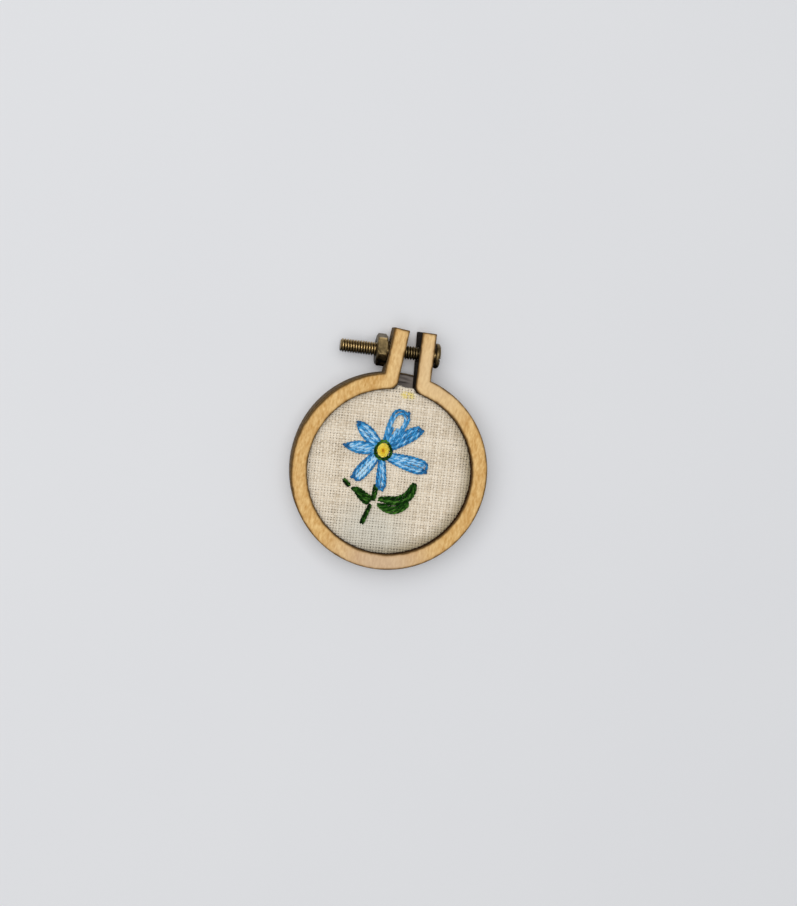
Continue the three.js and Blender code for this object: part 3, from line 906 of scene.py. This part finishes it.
def screw(tip_at, material):
    """A slotted screw: a rolled thread from its tip to its head, and a domed head."""
    rows, columns = int(SCREW_LENGTH / THREAD_PITCH * 8), 28
    z = np.linspace(0, SCREW_LENGTH + 0.1, rows)
    turn = np.linspace(0, 2 * np.pi, columns, endpoint=False)
    phase = (z[:, None] / THREAD_PITCH - turn[None, :] / (2 * np.pi)) % 1
    crest = np.clip(1.7 * (1 - np.abs(2 * phase - 1)) - 0.1, 0, 1)
    r = THREAD_ROOT_R + (THREAD_R - THREAD_ROOT_R) * crest
    r = np.minimum(r, THREAD_ROOT_R + TIP_SLOPE * z[:, None])
    heights = np.broadcast_to(z[:, None], r.shape)
    shaft = np.stack([r * np.cos(turn), r * np.sin(turn), heights], -1).reshape(-1, 3)
    shaft_part = (shaft, grid_faces(rows, columns), ROOT_WEAR + (1 - ROOT_WEAR) * crest.ravel())
    arc = np.linspace(0, np.pi / 2, 9)
    dome = 0.6 * HEAD_THICK
    under, top = SCREW_LENGTH, SCREW_LENGTH + HEAD_THICK
    profile = [(0.3, under), (HEAD_R - 0.1, under), (HEAD_R, under + 0.1)]
    profile += [(HEAD_R - dome + dome * math.cos(a), top - dome + dome * math.sin(a)) for a in arc]
    profile += [(0.7, top + 0.02), (0.35, top + 0.03), (0.05, top + 0.03)]
    head_points, head_faces = turned(profile, 64)
    head = make_object("head", on_screw_line(head_points, tip_at), head_faces, material)
    w, d = SLOT_WIDTH / 2, SLOT_DEPTH
    corners = [(-4, -w), (4, -w), (4, w), (-4, w)]
    box = np.array([(x, y, height) for height in (top - d, top + d) for x, y in corners])
    slot = make_object("slot", on_screw_line(box, tip_at, SLOT_TURN), grid_faces(2, 4), material)
    cut_away(head, slot)
    faces = [list(p.vertices) for p in head.data.polygons]
    at = points_of(head)
    bpy.data.objects.remove(head)
    points, faces, wear_and_light = joined([
        (on_screw_line(shaft_part[0], tip_at), shaft_part[1], shaft_part[2] * SHAFT_WEAR),
        (at, faces, np.full(len(at), HEAD_WEAR)),
    ])
    # Between the ears it is painted darker, as shade
    between = (points[:, 0] > LEFT_EAR["root_x"]) & (points[:, 0] < RIGHT_EAR["root_x"])
    wear_and_light = wear_and_light * lit_side(points, THREAD_R) * np.where(between, LIT_SHARE_BETWEEN_EARS, 1)
    return make_object("slotted_screw", points, faces, material, {"wear_and_light": wear_and_light}, sharp=35)


def nut(foot_at, material):
    """A hexagon nut, its corners chamfered at both ends."""
    columns = 96
    turn = np.linspace(0, 2 * np.pi, columns, endpoint=False)
    sixth = math.pi / 3
    hexagon = NUT_FLATS_R / np.cos(turn % sixth - sixth / 2)
    corner = NUT_FLATS_R / math.cos(sixth / 2)
    bore = THREAD_R + BORE_PLAY
    heights = np.array([0, 0, 0.12, 0.24, NUT_CHAMFER, 0.5])
    z = np.concatenate([heights, NUT_THICK - heights[::-1]])
    end_r = NUT_FLATS_R * 0.96
    slope = (corner + 0.12 - end_r) / NUT_CHAMFER
    limit = end_r + slope * np.minimum(z, NUT_THICK - z)
    r = np.minimum(hexagon[None, :], limit[:, None])
    r[[0, -1]] = bore + BORE_CHAMFER
    inside = np.full((1, columns), bore)
    z = np.concatenate([[BORE_CHAMFER], z, [NUT_THICK - BORE_CHAMFER]])
    r = np.concatenate([inside, r, inside])
    rings = np.stack([r * np.cos(turn), r * np.sin(turn), np.broadcast_to(z[:, None], r.shape)], -1)
    faces = grid_faces(len(z), columns, capped=False)
    last = (len(z) - 1) * columns
    faces += [[last + j, last + (j + 1) % columns, (j + 1) % columns, j] for j in range(columns)]
    points = rings.reshape(-1, 3)
    # Corners are worn; the side that faces up and out is painted lighter, as light, and the side below
    # darker, as shade
    near_corner = np.clip((r - 0.94 * corner) / (0.06 * corner), 0, 1).ravel()
    placed = on_screw_line(points, foot_at, NUT_TURN)
    return make_object("hexagon_nut", placed, faces, material,
                       {"wear_and_light": (0.45 + 0.5 * near_corner) * lit_side(placed, corner)}, sharp=25)


# Pieces

def place(piece, body, slot, *nodes):
    """A piece rides on its body and stands for its nodes, which are hidden. Its slot is not used."""
    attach(piece, body)
    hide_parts(*nodes)
    return piece


board_face = laser_cut_board("laser_cut_basswood", "#f4cd89", "#ca9549")
board_back = laser_cut_board("laser_cut_plywood_back", "#cfae80", "#b58f5e", "#2f2823",
                             smoke_and_shade_at=(0, 13.6, PLATE_TOP))
board_inside = laser_cut_board("laser_cut_plywood_inside", "#c9b690", "#b49c72")
cotton = unbleached_cotton()
blue = cotton_thread("blue_cotton_thread", "#16659c", "#42a5df", "#bde5fb", 0.3)
green = cotton_thread("green_cotton_thread", "#051a02", "#184609", "#508230", 0.08)
yellow = cotton_thread("yellow_cotton_thread", "#d08a10", "#ecce2c", "#f8e768", 0.3)
brass = antique_brass()

place(hoop_ring(board_face), "hoop", "hoop_wood", "hoop_ring")
back = round_board("back_board", PLATE_MIDDLE, PLATE_R, PLATE_LOW, PLATE_TOP, board_back)
place(back, "hoop", "plate_wood", "back_plate")
insert_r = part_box("insert_board")[1].x / MM
insert_low = levels("insert_board")[0]
insert_top = CLOTH_MIDDLE - 2.2 * YARN_HALF_THICK
insert = round_board("insert_disc", (0, 0), insert_r, insert_low, insert_top, board_inside)
place(insert, "hoop", "plate_wood", "insert_board")

weft = yarns("cotton_weft", WEFT_PITCH, WARP_PITCH, WEAVE_TURN, 1, WEFT_HALF_WIDE, cotton)
warp = yarns("cotton_warp", WARP_PITCH, WEFT_PITCH, WEAVE_TURN + math.pi / 2, -1, WARP_HALF_WIDE, cotton)
place(weft, "hoop", "cotton", "cloth")
place(warp, "hoop", "cotton", "cloth")

for row in PETALS:
    place(petal(material=blue, **{**row, "name": row["name"] + "_stitches"}),
                          "hoop", "blue_thread", row["name"])
for name in dict.fromkeys(row["name"] for row in GREENERY):
    bands = [row for row in GREENERY if row["name"] == name]
    place(greenery(name + "_stitches", bands, green), "hoop", "green_thread", name)
place(flower_outline(green), "hoop", "green_thread", "flower_outline")
place(flower_middle(yellow), "hoop", "yellow_thread", "flower_middle")

# The screw's head bears on the right ear, and the nut on the left one
tip = screw_along(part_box("screw")[0].x / MM + SHAFT_R * math.sin(SCREW_SLANT))
nut_middle_x = (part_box("nut")[0].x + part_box("nut")[1].x) / 2 / MM
place(screw(tip, brass), "screw", "antique_brass", "screw")
place(nut(screw_along(nut_middle_x) - NUT_THICK / 2, brass), "nut", "antique_brass", "nut")


# Stage, lights and camera

def floor():
    """A wide sheet of card that the part lies on."""
    corners = CARD_HALF * np.array([(-1, -1, 0), (1, -1, 0), (1, 1, 0), (-1, 1, 0)], float)
    card = make_object("card", corners, [[0, 1, 2, 3]], white_paper())


def area_light(name, at, size, power):
    """A soft square light that faces the part."""
    lamp = bpy.data.lights.new(name, "AREA")
    lamp.size = size * MM
    lamp.energy = power
    made = bpy.data.objects.new(name, lamp)
    made.location = Vector(at) * MM
    made.rotation_euler = (-made.location).to_track_quat("-Z", "Y").to_euler()
    bpy.context.scene.collection.objects.link(made)


def camera():
    """The camera of the photograph's view."""
    lens = bpy.data.cameras.new("camera")
    lens.lens = CAMERA_LENS
    lens.clip_start = MM
    made = bpy.data.objects.new("camera", lens)
    made.location = Vector(CAMERA_AT) * MM
    made.rotation_euler = [math.radians(a) for a in CAMERA_TURN]
    bpy.context.scene.collection.objects.link(made)
    bpy.context.scene.camera = made


floor()
for row in LIGHTS:
    area_light(**row)
world = bpy.data.worlds.new("room")
world.use_nodes = True
background = world.node_tree.nodes["Background"]
background.inputs["Color"].default_value = linear(ROOM_COLOUR)
background.inputs["Strength"].default_value = ROOM_STRENGTH
bpy.context.scene.world = world
bpy.context.scene.view_settings.view_transform = "Standard"
camera()
